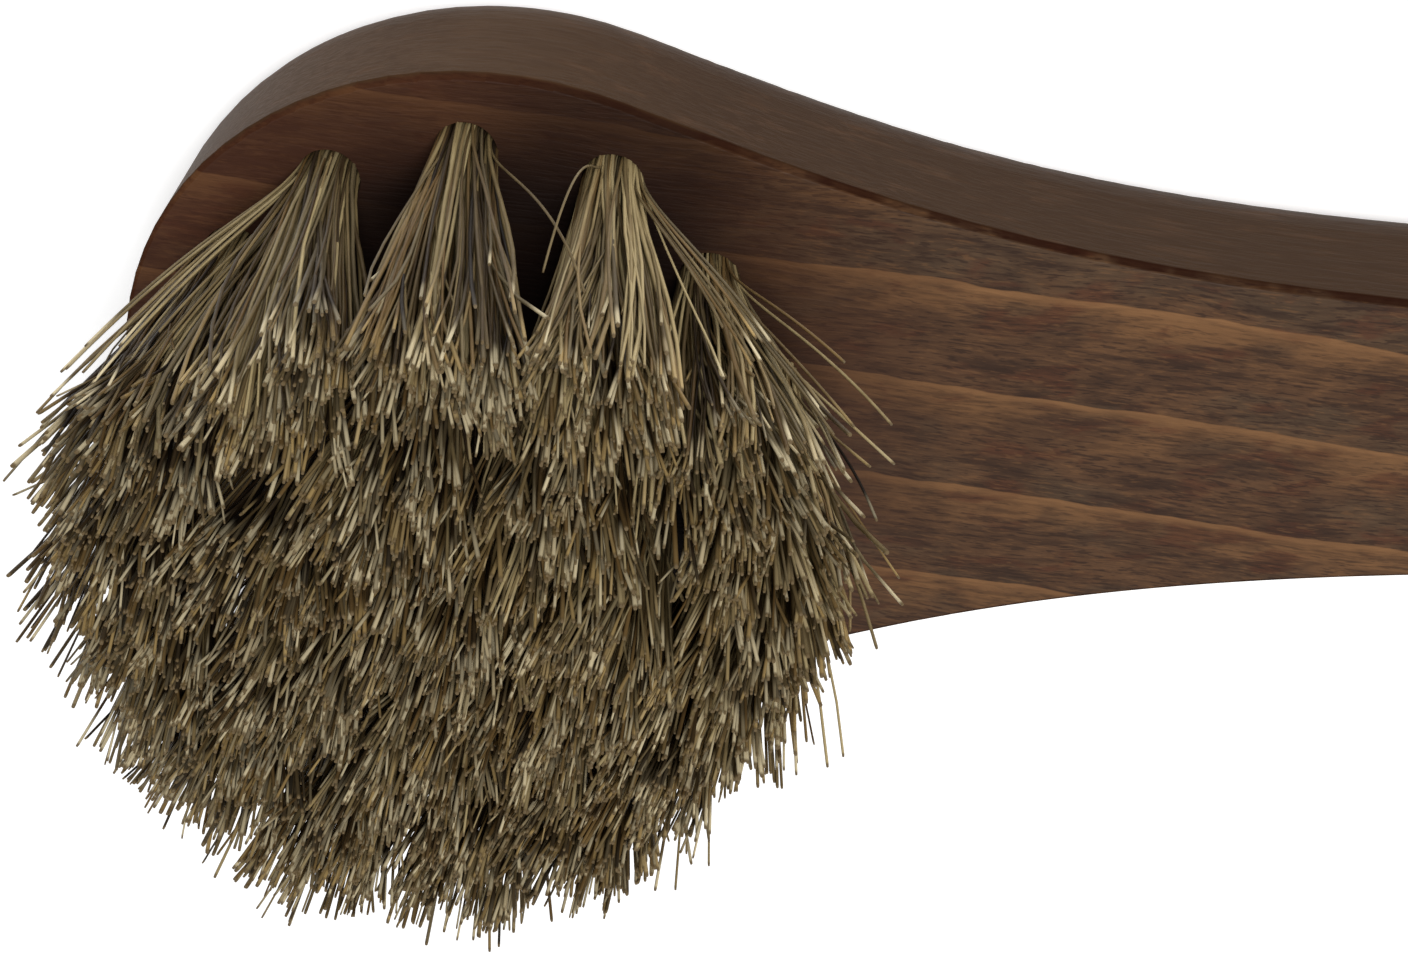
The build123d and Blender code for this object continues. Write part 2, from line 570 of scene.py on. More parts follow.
        # mask for the painted shade: weaker on the -X side of the head
        side = graph.shown(self.painted_shade_side, spot["X"])
        colour = graph.mix(fade, self.pale, self.middle)
        for strength, top in (
            (graph.shown(self.deep_patches, deep, late), self.dark),
            (graph.shown(self.grey_patches, cool, fade), self.grey),
            (graph.shown(self.red_patches, warm), self.red),
            (graph.shown(self.broad_streaks, broad, fade), self.dark),
            (graph.shown(self.fine_streaks, fine), self.dark),
            (graph.shown(self.dark_flecks, dashes, fade), self.dark),
            (graph.shown(self.pale_glints, dashes), self.pale),
            (graph.times(bands["Line"], self.line_share), self.line),
            (graph.shown(self.red_head, spot["X"]), self.red),
            # painted shade on the bristle face round the tufts
            (graph.times(graph.shown(self.painted_shade_reach, reach, side), front), self.painted_shade),
            # the darker spot near the +Y rim
            (graph.shown(self.dark_spot_reach, spot_distance), self.near_black),
            # painted shade on the bristle face between the tufts
            (graph.times(graph.shown(self.between_tufts_shade_reach, reach), front), self.near_black),
        ):
            colour = graph.mix(strength, colour, top)
        return colour

    def side_colour(self, graph: Graph, point: object, spot: bpy.types.NodeOutputs, fine: object,
                    broad: object) -> bpy.types.NodeSocket:
        """Colours the sanded edge band: nearly even, with painted shade that darkens it along the handle, and
        faint streaks.

        Args:
            graph: the material's graph.
            point: the coordinate in millimetres.
            spot: the same coordinate, split.
            fine: narrow fibre streaks.
            broad: wide fibre streaks.

        Returns:
            The colour's socket.
        """
        patch = Blotches().place(graph, Vector=point, Size=7.0, Seed=5.0)["Patch"]
        # painted shade along the handle, joined with the darker blotches
        handle = graph.shown(self.side_shade_towards_handle, spot["X"])
        deep = graph.math("MAXIMUM", graph.shown(self.side_patches, patch), handle)
        colour = graph.mix(deep, self.side, self.side_dark)
        colour = graph.mix(graph.shown(self.side_pale_streaks, broad), colour, self.middle)
        return graph.mix(graph.shown(self.side_dark_streaks, fine), colour, self.dark)

    def arris_mask(self, graph: Graph, point: object, spot: bpy.types.NodeOutputs,
                   depth: object) -> bpy.types.NodeSocket:
        """Marks the thin broken dark line along the bristle face's edge.

        Args:
            graph: the material's graph.
            point: the coordinate in millimetres.
            spot: the same coordinate, split.
            depth: the depth under the bristle face.

        Returns:
            The mask's socket.
        """
        line = graph.times(graph.shown(self.arris_high, depth), graph.shown(self.arris_low, depth))
        wander = graph.noise(graph.stretch(point, self.arris_break_scale), 3.0)
        broken = graph.math("ADD", graph.shown(self.arris_breaks, wander), self.arris_least)
        neck = graph.math("ADD", graph.shown(self.arris_neck, spot["X"]), self.arris_head)
        return graph.math("MULTIPLY", line, graph.times(broken, neck), clamp=True)


@dataclass(frozen=True)
class Horsehair:
    """Undyed mixed horsehair: blond, khaki, grey-brown and nearly black strands with pale ends.

    Each strand has a tone, from dark to pale, and a kind, which picks ashen or ochre hair and how pale
    its end is. The pale ends are partly the hair's own colour and partly a painted highlight on the tips;
    the cut faces are painted darker as shade against the light that they catch from above. The layers of
    the end read how far along its strand a point lies.
    """

    name: str = "horsehair"
    shades: tuple = (
        (0.00, srgb(19, 12, 7)),
        (0.16, srgb(33, 23, 13)),
        (0.36, srgb(58, 44, 26)),
        (0.56, srgb(88, 73, 46)),
        (0.78, srgb(122, 105, 71)),
        (1.00, srgb(172, 154, 112)),
    )
    ash: tuple = srgb(88, 80, 63)
    ochre: tuple = srgb(106, 79, 42)
    # pale end colour: the hair's own paler ends with a painted highlight on the tips
    pale_lit_end: tuple = srgb(218, 203, 166)
    golden_end: tuple = srgb(172, 146, 96)
    # painted shade on the cut ends, which face up towards the lamps and catch more light than the sides
    painted_cap_shade: tuple = srgb(96, 80, 54)
    tone_scale: tuple = (1.5, 1.5, 0.25)
    tone_stray: float = 0.36
    light_hair: Layer = Layer(0.15, 0.6)
    ashen_kinds: Layer = Layer(0.66, 0.9, 0.0, 0.5)
    ochre_kinds: Layer = Layer(0.34, 0.08, 0.0, 0.6)
    golden_kinds: Layer = Layer(0.5, 0.2)
    pale_cycles: float = 7.0
    pale_kinds: Layer = Layer(0.25, 0.95, 0.8)
    least_pale: float = 0.03
    # stretch of the strand that takes the pale ends and their painted highlight
    lit_end_stretch: Layer = Layer(0.915, 0.97)
    # stretch of the strand that takes the painted shade of the cut end
    cap_shade_stretch: Layer = Layer(0.990, 0.998)
    scale_size: tuple = (6.0, 6.0, 2.2)
    rough: float = 0.38
    rough_gain: float = 0.25
    shine: float = 0.22
    relief_strength: float = 0.2
    relief_depth: float = 0.02 * MM

    def material(self) -> bpy.types.Material:
        """Builds the finish.

        Returns:
            The hair material.
        """
        material, graph = new_material(self.name)
        point = graph.millimetres()
        tone = self.strand_value(graph, "strand_tone")
        kind = self.strand_value(graph, "strand_kind")
        along = self.strand_value(graph, "strand_along")
        slow = graph.noise(graph.stretch(point, self.tone_scale), 2.0)
        mixed = graph.math("ADD", tone, graph.scaled(slow, self.tone_stray, -self.tone_stray / 2))
        ramp = graph.add("ShaderNodeValToRGB", None, Fac=mixed)
        stops = ramp.color_ramp.elements
        while len(stops) < len(self.shades):
            stops.new(1.0)
        for stop, (place_on_ramp, colour) in zip(stops, self.shades):
            stop.position = place_on_ramp
            stop.color = colour
        light = graph.shown(self.light_hair, mixed)
        colour = graph.mix(graph.shown(self.ashen_kinds, kind, light), ramp.outputs["Color"], self.ash)
        colour = graph.mix(graph.shown(self.ochre_kinds, kind, light), colour, self.ochre)
        cycle = graph.math("FRACT", graph.times(kind, self.pale_cycles))
        end_lightness = graph.math("ADD", graph.shown(self.pale_kinds, cycle), self.least_pale)
        # pale ends of some strands, with a painted highlight on the tips
        ends = graph.mix(graph.shown(self.golden_kinds, kind), self.pale_lit_end, self.golden_end)
        colour = graph.mix(graph.times(graph.shown(self.lit_end_stretch, along), end_lightness), colour, ends)
        # painted shade over the cut end
        colour = graph.mix(graph.shown(self.cap_shade_stretch, along), colour, self.painted_cap_shade)
        shader = graph.add("ShaderNodeBsdfPrincipled", None, Base_Color=colour, Specular_IOR_Level=self.shine)
        scales = graph.noise(graph.stretch(point, self.scale_size), 2.0)
        graph.fill(shader.inputs["Roughness"], graph.scaled(scales, self.rough_gain, self.rough))
        graph.surface(shader, scales, self.relief_strength, self.relief_depth)
        return material

    def strand_value(self, graph: Graph, name: str) -> bpy.types.NodeSocket:
        """Reads one of the numbers that every point of a strand carries."""
        return graph.add("ShaderNodeAttribute", {"attribute_name": name}).outputs["Fac"]


@dataclass(frozen=True)
class DrawnWire:
    """Brass flat wire with drawing lines along its length."""

    name: str = "anchor_wire"
    bright: tuple = srgb(214, 184, 112)
    dull: tuple = srgb(150, 122, 70)
    line_scale: tuple = (30.0, 0.4, 30.0)
    dull_lines: Layer = Layer(0.35, 0.65)
    rough: float = 0.2
    rough_gain: float = 0.3
    relief_strength: float = 0.2
    relief_depth: float = 0.01 * MM

    def material(self) -> bpy.types.Material:
        """Builds the finish.

        Returns:
            The wire material.
        """
        material, graph = new_material(self.name)
        lines = graph.noise(graph.stretch(graph.millimetres(), self.line_scale), 3.0)
        colour = graph.mix(graph.shown(self.dull_lines, lines), self.bright, self.dull)
        shader = graph.add("ShaderNodeBsdfPrincipled", None, Base_Color=colour, Metallic=1.0)
        graph.fill(shader.inputs["Roughness"], graph.scaled(lines, self.rough_gain, self.rough))
        graph.surface(shader, lines, self.relief_strength, self.relief_depth)
        return material


# ---------------------------------------------------------------------------------------------------------
# Modelling helpers
# ---------------------------------------------------------------------------------------------------------


def deselect_all() -> None:
    """Leaves object mode with nothing selected."""
    if bpy.context.mode != "OBJECT":
        bpy.ops.object.mode_set(mode="OBJECT")
    bpy.ops.object.select_all(action="DESELECT")


def new_piece(name: str, vertices: np.ndarray, faces: Faces) -> bpy.types.Object:
    """Makes a mesh object at the origin.

    Args:
        name: the piece's name.
        vertices: its points, in metres.
        faces: its faces, as tuples of point numbers.

    Returns:
        The new object, linked to the scene.
    """
    mesh = bpy.data.meshes.new(name)
    mesh.from_pydata(vertices.tolist(), [], faces)
    mesh.validate()
    piece = bpy.data.objects.new(name, mesh)
    bpy.context.scene.collection.objects.link(piece)
    return piece


def dress(piece: bpy.types.Object, material: bpy.types.Material) -> None:
    """Gives a piece its finish in every material slot.

    Args:
        piece: the object to finish.
        material: the finish.
    """
    if not piece.material_slots:
        piece.data.materials.append(material)
    for material_slot in piece.material_slots:
        material_slot.material = material


# ---------------------------------------------------------------------------------------------------------
# Hair
# ---------------------------------------------------------------------------------------------------------


@dataclass(frozen=True)
class LooseLock:
    """A few long hairs that stand away from their tuft.

    Attributes:
        start: where they leave the hole, from the hole's centre, in hole radii.
        middle: a point that they bend towards, in millimetres over the face, from the head's centre.
        tip: where they end, in the same terms.
        strands: how many there are.
        spread: how far their ends and middles stray, in millimetres.
        tone: their colour, from 0 for nearly black to 1 for blond.
        width: their thickness against an ordinary strand.
        tone_stray: how far one hair's colour strays from the others', either way.
        root_stray: the share of the spread that they have in the hole.
        middle_stray: the share of the spread that their middles have.
        rise: where each hair stops rising steeply, as shares of its way in x, y and z.
    """

    start: tuple[float, float]
    middle: tuple[float, float, float]
    tip: tuple[float, float, float]
    strands: int = 1
    spread: float = 0.0
    tone: float = 0.7
    width: float = 0.9
    tone_stray: float = 0.15
    root_stray: float = 0.25
    middle_stray: float = 0.5
    rise: tuple[float, float, float] = (0.08, 0.08, 0.25)


@dataclass
class StrandShape:
    """The one strand that others are copied from: a five-sided tube with a blunt cut end.

    Attributes:
        segments: how many lengths it has between the hole's mouth and its end.
        sides: how many sides it has.
        fold_levels: its rings below the mouth, as shares of its length.
        mouth_level: the ring that lies at the mouth.
        cut_level: the ring just before the cut end.
        cut_width: the cut end's width against the strand's.
    """

    segments: int = 7
    sides: int = 5
    fold_levels: tuple[float, ...] = (0.0, 0.09)
    mouth_level: float = 0.21
    cut_level: float = 0.994
    cut_width: float = 0.82
    levels: np.ndarray = field(init=False)
    points: np.ndarray = field(init=False)
    faces: Faces = field(init=False)

    def __post_init__(self) -> None:
        """Models the strand by extruding a ring upwards and reads its mesh."""
        above = np.linspace(self.mouth_level, self.cut_level, self.segments + 1)
        self.levels = np.array([*self.fold_levels, *above, 1.0])
        deselect_all()
        bpy.ops.mesh.primitive_circle_add(vertices=self.sides, radius=1.0, fill_type="NGON")
        strand = bpy.context.object
        bpy.ops.object.mode_set(mode="EDIT")
        bpy.ops.mesh.select_all(action="SELECT")
        for rise in np.diff(self.levels):
            bpy.ops.mesh.extrude_region_move(TRANSFORM_OT_translate={"value": (0, 0, float(rise))})
        bpy.ops.transform.resize(value=(self.cut_width, self.cut_width, 1.0))
        bpy.ops.mesh.select_all(action="SELECT")
        bpy.ops.mesh.normals_make_consistent(inside=False)
        bpy.ops.object.mode_set(mode="OBJECT")
        self.points = np.array([vertex.co for vertex in strand.data.vertices])
        self.faces = [tuple(face.vertices) for face in strand.data.polygons]
        bpy.data.objects.remove(strand)

    def sweep(self, paths: np.ndarray, radii: np.ndarray) -> tuple[np.ndarray, Faces, np.ndarray]:
        """Lays a copy of the strand along every path.

        Args:
            paths: points by strand and level.
            radii: each strand's radius.

        Returns:
            All points, all faces, and how far along its strand each point is.
        """
        ring = np.argmin(np.abs(self.points[:, 2][:, None] - self.levels[None]), axis=1)
        tangents = np.gradient(paths, axis=1)
        tangents /= np.linalg.norm(tangents, axis=2, keepdims=True)
        first = np.cross(np.broadcast_to([0.0, 1.0, 0.0], tangents.shape), tangents)
        first /= np.linalg.norm(first, axis=2, keepdims=True)
        second = np.cross(tangents, first)
        offset = first[:, ring] * self.points[None, :, 0:1] + second[:, ring] * self.points[None, :, 1:2]
        points = paths[:, ring] + offset * radii[:, None, None]
        faces = []
        for strand in range(len(paths)):
            start = strand * len(self.points)
            faces.extend(tuple(start + corner for corner in face) for face in self.faces)
        along = np.tile(self.points[:, 2], len(paths))
        return points.reshape(-1, 3), faces, along


@dataclass
class TuftSizes:
    """Sizes that every tuft shares, in metres unless they say otherwise.

    Attributes:
        strands: how many strands a tuft has.
        free_share: share of strands that belong to no lock.
        locks: how many locks the other strands gather in.
        strand_radius: half a strand's thickness.
        strand_radius_spread: how much that differs, as a share.
        length: a full strand's length over the face.
        mouth_share: how much of the hole's radius the hair fills.
        fan_radius: the farthest that a cut end stands from its tuft's middle.
        head_radius: the farthest that a cut end stands from the head's middle.
        lock_spread: how far ends of one lock stand apart.
        free_spread: how far a free strand's end strays from its place.
        lock_bend: how far a lock bows sideways.
        strand_bend: how far one strand bows sideways in its lock.
        free_bend: how far a free strand bows sideways.
        most_bend: the most that any strand bows.
        kick_from: the share of a strand's length from which its end turns aside.
        lock_kick: how far the ends of a lock turn aside together.
        strand_kick: how far one strand's end turns aside in its lock.
        most_kick: the most that any end turns aside.
        wave: how far a strand waves.
        trim_spread: how uneven the trim is.
        short_share: share of strands that end short of the trim.
        short_loss: the most that they lack.
        rise_share: how much of its height a strand climbs before it turns to its end.
        odd_share: share of strands whose kind differs from their lock's.
        radius_limits: the thinnest and thickest strands, against strand_radius.
        lock_reach: how much of the mouth's radius the middles of the locks fill.
        lock_stray: how far a lock strays from its even place in the mouth, in hole radii.
        strand_stray: how far a strand strays from its lock's place there.
        least_height: the least that a full strand rises, as a share of its length.
        loss_shares: the least and most of the short strands' loss.
        lower_share: how far sideways a strand has gone where it stops climbing.
        upper_shares: how far along x, y and z its upper half is pulled.
        wave_pitches: the fewest and most waves along a strand.
        wave_shares: the least and most of the wave that a strand has.
        wave_fade: how much the wave fades towards the end; larger fades less.
        kick_power: how suddenly an end turns aside.
        beside_share: how far out a strand lies beside the wire, against its place in the mouth.
        under_share: how much lower it lies under the wire, in the same terms.
        under_wire: the share of the way from its lowest point to the mouth that lies under the wire.
        lock_tone: how much a strand's tone follows its lock.
        own_tone: how much it goes its own way.
        tone_drop: how much darker every strand is than those two give.
        lock_tone_mix: the shape of the spread of the locks' tones.
        own_tone_mix: the shape of the spread of the strands' own tones.
    """

    strands: int = 400
    free_share: float = 0.28
    locks: int = 38
    strand_radius: float = 0.082 * MM
    strand_radius_spread: float = 0.24
    length: float = 20.3 * MM
    mouth_share: float = 0.97
    fan_radius: float = 4.5 * MM
    head_radius: float = 19.4 * MM
    lock_spread: float = 0.32 * MM
    free_spread: float = 0.75 * MM
    lock_bend: float = 0.7 * MM
    strand_bend: float = 0.3 * MM
    free_bend: float = 0.9 * MM
    most_bend: float = 1.3 * MM
    kick_from: float = 0.55
    lock_kick: float = 0.6 * MM
    strand_kick: float = 0.24 * MM
    most_kick: float = 1.0 * MM
    wave: float = 0.17 * MM
    trim_spread: float = 0.3 * MM
    short_share: float = 0.3
    short_loss: float = 6.0 * MM
    rise_share: float = 0.24
    odd_share: float = 0.3
    radius_limits: tuple[float, float] = (0.6, 1.5)
    lock_reach: float = 0.86
    lock_stray: float = 0.09
    strand_stray: float = 0.13
    least_height: float = 0.5
    loss_shares: tuple[float, float] = (0.05, 1.0)
    lower_share: float = 0.14
    upper_shares: tuple[float, float, float] = (0.6, 0.6, 0.64)
    wave_pitches: tuple[float, float] = (0.6, 2.3)
    wave_shares: tuple[float, float] = (0.2, 1.0)
    wave_fade: float = 1.4
    kick_power: float = 1.6
    beside_share: float = 0.6
    under_share: float = 0.4
    under_wire: float = 0.43
    lock_tone: float = 0.66
    own_tone: float = 0.44
    tone_drop: float = 0.03
    lock_tone_mix: tuple[float, float] = (1.15, 1.1)
    own_tone_mix: tuple[float, float] = (1.2, 1.1)


@dataclass
class Tuft:
    """One folded bundle of horsehair in its hole.

    Attributes:
        number: the tuft's number, as in its node's name.
        sizes: the sizes that all tufts share.
        shape: the strand that is copied.
        long_shape: the smoother strand that loose hairs are copied from.
        tip_centres: where the middle of every tuft's cut end stands, by tuft number.
        loose: the long hairs that stand away from it.
        side_light_shift: painted light and shade, how much paler its hair is than the ordinary mix; below 0
            it is darker.
        face_z: the height of the bristle face.
        tip_z: the height that the hair is trimmed to.
    """

    number: int
    sizes: TuftSizes
    shape: StrandShape
    long_shape: StrandShape
    tip_centres: dict[int, np.ndarray]
    loose: tuple[LooseLock, ...]
    side_light_shift: float
    face_z: float
    tip_z: float

    def __post_init__(self) -> None:
        """Reads the hole's place and size from the anchor across it."""
        low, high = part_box(f"anchor_{self.number:02d}")
        self.centre = hole_middle(self.number)
        self.wire_half = (high.x - low.x) / 2
        self.wire_low = low.z
        self.hole_radius = HOLE_SHARE * (high.y - low.y) / 2
        self.random = np.random.default_rng(FIRST_SEED + self.number)

    def disc(self, count: int, radius: float = 1.0) -> np.ndarray:
        """Spreads points evenly over a disc.

        Args:
            count: how many points.
            radius: the disc's radius.

        Returns:
            One x and y for each point.
        """
        order = np.arange(count) + 0.5
        reach = radius * np.sqrt(order / count)
        angle = order * math.pi * GOLDEN_SHARE + self.random.uniform(0, 2 * math.pi)
        return np.stack([reach * np.cos(angle), reach * np.sin(angle)], axis=1)

    def cell(self, count: int) -> np.ndarray:
        """Spreads points evenly over the share of the brush's end that belongs to this tuft.

        Args:
            count: how many points.

        Returns:
            One x and y for each point, in metres.
        """
        sizes = self.sizes
        middle = self.tip_centres[self.number]
        lean = middle - self.centre
        points = middle + self.disc(SPARE_PLACES * count, sizes.fan_radius)
        centres = np.array(list(self.tip_centres.values()))
        nearest = np.argmin(np.linalg.norm(points[:, None] - centres[None], axis=2), axis=1)
        own = np.array(list(self.tip_centres))[nearest] == self.number
        inside = np.linalg.norm(points - lean, axis=1) < sizes.head_radius
        points = points[own & inside]
        return points[self.random.permutation(len(points))[:count]]

    def pair(self, mouths: np.ndarray, ends: np.ndarray) -> np.ndarray:
        """Orders the ends so that a strand's end lies on the same side as its mouth.

        Args:
            mouths: places in the mouth, on a unit disc.
            ends: places at the brush's end.

        Returns:
            The ends in the mouths' order.
        """
        flat = (ends - ends.mean(axis=0)) / self.sizes.fan_radius
        ordered = np.empty_like(ends)
        free = list(range(len(ends)))
        for index in np.argsort(-np.linalg.norm(mouths, axis=1)):
            best = min(free, key=lambda place: float(np.sum((flat[place] - mouths[index]) ** 2)))
            free.remove(best)
            ordered[index] = ends[best]
        return ordered

    def strand_ends(self) -> tuple[np.ndarray, np.ndarray, np.ndarray]:
        """Draws where every strand leaves the hole, where it ends and how it bows.

        Returns:
            Mouth places on a unit disc, ends in metres, and sideways bows in metres.
        """
        sizes, random = self.sizes, self.random
        free_count = round(sizes.strands * sizes.free_share)
        lock_of = random.integers(0, sizes.locks, sizes.strands - free_count)
        lock_mouths = self.disc(sizes.locks) * sizes.lock_reach
        lock_mouths += random.normal(0, sizes.lock_stray, (sizes.locks, 2))
        lock_ends = self.pair(lock_mouths, self.cell(sizes.locks))
        lock_bows = random.normal(0, sizes.lock_bend, (sizes.locks, 2))
        mouths = lock_mouths[lock_of] + random.normal(0, sizes.strand_stray, (len(lock_of), 2))
        ends = lock_ends[lock_of] + random.normal(0, sizes.lock_spread, (len(lock_of), 2))
        bows = lock_bows[lock_of] + random.normal(0, sizes.strand_bend, (len(lock_of), 2))
        free_mouths = self.disc(free_count)
        free_ends = self.pair(free_mouths, self.cell(free_count))
        free_ends += random.normal(0, sizes.free_spread, free_ends.shape)
        free_bows = random.normal(0, sizes.free_bend, (free_count, 2))
        mouths = np.concatenate([mouths, free_mouths])
        mouths /= np.maximum(1.0, np.linalg.norm(mouths, axis=1))[:, None]
        self.lock_of = np.concatenate([lock_of, sizes.locks + np.arange(free_count)])
        bows = np.concatenate([bows, free_bows]).clip(-sizes.most_bend, sizes.most_bend)
        return mouths, np.concatenate([ends, free_ends]), bows

    def heights(self, reach: np.ndarray) -> np.ndarray:
        """Trims the strands: full ones by their length and the trim, short ones anywhere below.

        Args:
            reach: how far each strand's end lies sideways of its mouth.

        Returns:
            The height of every end.
        """
        sizes, random = self.sizes, self.random
        lock_heights = random.normal(0, sizes.trim_spread, self.lock_of.max() + 1)
        full = np.sqrt(np.maximum(sizes.length**2 - reach**2, (sizes.least_height * sizes.length) ** 2))
        heights = self.face_z + np.minimum(full, self.tip_z - self.face_z)
        heights += lock_heights[self.lock_of] + random.normal(0, sizes.trim_spread, len(reach))
        short = random.uniform(0, 1, len(reach)) < sizes.short_share
        heights[short] -= sizes.short_loss * random.uniform(*sizes.loss_shares, short.sum()) ** 2
        return heights

    def paths(self, disc: np.ndarray, ends: np.ndarray, bows: np.ndarray) -> np.ndarray:
        """Finds the middle of every strand at every level of the copied shape.

        Args:
            disc: each strand's place in the mouth, on a unit disc.
            ends: each strand's end, seen from above.
            bows: how far each strand bows sideways.

        Returns:
            Points by strand and level.
        """
        sizes, random, levels = self.sizes, self.random, self.shape.levels
        flat_mouth = self.centre + disc * self.hole_radius * sizes.mouth_share
        mouth = np.column_stack([flat_mouth, np.full(len(disc), self.face_z)])
        height = self.heights(np.linalg.norm(ends - flat_mouth, axis=1))
        tips = np.column_stack([ends, height])
        short = (height - self.face_z) / (self.tip_z - self.face_z)
        tips[:, :2] = flat_mouth + (ends - flat_mouth) * np.minimum(short, 1.0)[:, None]
        reach = tips - mouth
        lower = mouth + reach * np.array([sizes.lower_share, sizes.lower_share, sizes.rise_share])
        upper = mouth + reach * np.array(sizes.upper_shares)
        upper[:, :2] += bows
        kick = random.normal(0, sizes.lock_kick, (self.lock_of.max() + 1, 2))[self.lock_of]
        kick += random.normal(0, sizes.strand_kick, kick.shape)
        kick = kick.clip(-sizes.most_kick, sizes.most_kick)
        phase = random.uniform(0, 2 * math.pi, (len(disc), 2))
        pitch = random.uniform(*sizes.wave_pitches, (len(disc), 2))
        wave = random.uniform(*sizes.wave_shares, (len(disc), 1)) * sizes.wave
        rings = []
        for level in levels:
            if level < self.shape.mouth_level:
                rings.append(self.fold_ring(disc, mouth, level / self.shape.mouth_level))
                continue
            share = (level - self.shape.mouth_level) / (1 - self.shape.mouth_level)
            point = curve_point(mouth, lower, upper, tips, share)
            swing = np.sin(phase + 2 * math.pi * pitch * share) - np.sin(phase)
            point[:, :2] += swing * wave * share * (sizes.wave_fade - share)
            turn = max(0.0, share - sizes.kick_from) / (1 - sizes.kick_from)
            point[:, :2] += kick * turn**sizes.kick_power
            rings.append(point)
        return np.stack(rings, axis=1)

    def fold_ring(self, disc: np.ndarray, mouth: np.ndarray, share: float) -> np.ndarray:
        """Places the strands below the mouth: down beside the wire, then under it.

        Args:
            disc: each strand's place in the mouth, on a unit disc.
            mouth: each strand's point at the mouth.
            share: 0 at the lowest point and 1 at the mouth.

        Returns:
            One point for each strand.
        """
        side = np.where(disc[:, 0] >= 0, 1.0, -1.0)
        out = np.abs(disc[:, 0]) * self.hole_radius
        beside = mouth.copy()
        beside[:, 0] = self.centre[0] + side * (self.wire_half + self.sizes.beside_share * out)
        beside[:, 2] = self.wire_low
        fold = beside.copy()
        fold[:, 0] = self.centre[0]
        fold[:, 2] = self.wire_low - FOLD_DROP - self.sizes.under_share * out
        turn = self.sizes.under_wire
        if share < turn:
            return fold + (beside - fold) * (share / turn)
        return beside + (mouth - beside) * ((share - turn) / (1 - turn))

    def loose_paths(self, lock: LooseLock) -> np.ndarray:
        """Finds the middle of every hair of a loose lock at every level of the smoother shape.

        Args:
            lock: the loose lock.

        Returns:
            Points by hair and level.
        """
        levels = self.long_shape.levels
        stray = self.random.normal(0, lock.spread * MM, (lock.strands, 3))
        places = np.array(lock.start) + stray[:, :2] * lock.root_stray / self.hole_radius
        places /= np.maximum(1.0, np.linalg.norm(places, axis=1) / self.sizes.mouth_share)[:, None]
        start = np.column_stack([self.centre + places * self.hole_radius, np.full(lock.strands, self.face_z)])
        root = start * [1, 1, 0] + [0, 0, self.wire_low]
        over_face = np.array([0, 0, self.face_z])
        middle = np.array(lock.middle) * MM + over_face + stray * lock.middle_stray
        tip = np.array(lock.tip) * MM + over_face + stray
        rise = start + (tip - start) * np.array(lock.rise)
        rings = []
        for level in levels:
            if level < self.long_shape.mouth_level:
                rings.append(root + (start - root) * (level / self.long_shape.mouth_level))
                continue
            share = (level - self.long_shape.mouth_level) / (1 - self.long_shape.mouth_level)
            rings.append(curve_point(start, rise, middle, tip, share))
        return np.stack(rings, axis=1)

    def build(self, material: bpy.types.Material) -> bpy.types.Object:
        """Models the whole tuft as one piece of many strands.

        Args:
            material: the hair's finish.

        Returns:
            The tuft, in place of its CAD solid.
        """
        sizes, random = self.sizes, self.random
        paths = self.paths(*self.strand_ends())
        count = len(paths)
        thickness = random.normal(1, sizes.strand_radius_spread, count)
        radii = sizes.strand_radius * np.clip(thickness, *sizes.radius_limits)
        lock_tones = random.beta(*sizes.lock_tone_mix, self.lock_of.max() + 1)
        own_tones = random.beta(*sizes.own_tone_mix, count)
        tones = sizes.lock_tone * lock_tones[self.lock_of] + sizes.own_tone * own_tones - sizes.tone_drop
        # painted light and shade: the tuft's shift towards paler or darker hair
        tones = np.clip(tones + self.side_light_shift, 0, 1)
        points, faces, along = self.shape.sweep(paths, radii)
        lock_kinds = random.uniform(0, 1, self.lock_of.max() + 1)
        kinds = np.where(random.uniform(0, 1, count) < sizes.odd_share, random.uniform(0, 1, count),
                         lock_kinds[self.lock_of])
        tone = np.repeat(tones, len(self.shape.points))
        kind = np.repeat(kinds, len(self.shape.points))
        for lock in self.loose:
            loose_radii = np.full(lock.strands, sizes.strand_radius * lock.width)
            more = self.long_shape.sweep(self.loose_paths(lock), loose_radii)
            faces.extend(tuple(len(points) + corner for corner in face) for face in more[1])
            points = np.concatenate([points, more[0]])
            along = np.concatenate([along, more[2]])
            tone_strays = random.uniform(-lock.tone_stray, lock.tone_stray, lock.strands)
            loose_tones = np.clip(lock.tone + tone_strays, 0, 1)
            tone = np.concatenate([tone, np.repeat(loose_tones, len(self.long_shape.points))])
            loose_kinds = random.uniform(0, 1, lock.strands)
            kind = np.concatenate([kind, np.repeat(loose_kinds, len(self.long_shape.points))])
        piece = new_piece(f"horsehair_tuft_{self.number:02d}", points, faces)
        self.mark(piece, {"strand_tone": tone, "strand_kind": kind, "strand_along": along})
        dress(piece, material)
        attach(piece, BODY)
        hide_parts(f"hair_tuft_{self.number:02d}")
        return piece

    def mark(self, piece: bpy.types.Object, values: dict[str, np.ndarray]) -> None:
        """Stores values for each point that the finish reads, and smooths the sides.

        Args:
            piece: the tuft.
            values: one number for each point, by attribute name.
        """
        mesh = piece.data
        for name, numbers in values.items():
            attribute = mesh.attributes.new(name, "FLOAT", "POINT")
            attribute.data.foreach_set("value", numbers.astype(np.float32))
        smooth = [len(face.vertices) == 4 for face in mesh.polygons]
        mesh.polygons.foreach_set("use_smooth", smooth)
        mesh.update()


def hole_middle(number: int) -> np.ndarray:
    """Finds the middle of a tuft's hole, seen from above, from the anchor across it."""
    low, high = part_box(f"anchor_{number:02d}")
    return np.array([(low.x + high.x) / 2, (low.y + high.y) / 2])


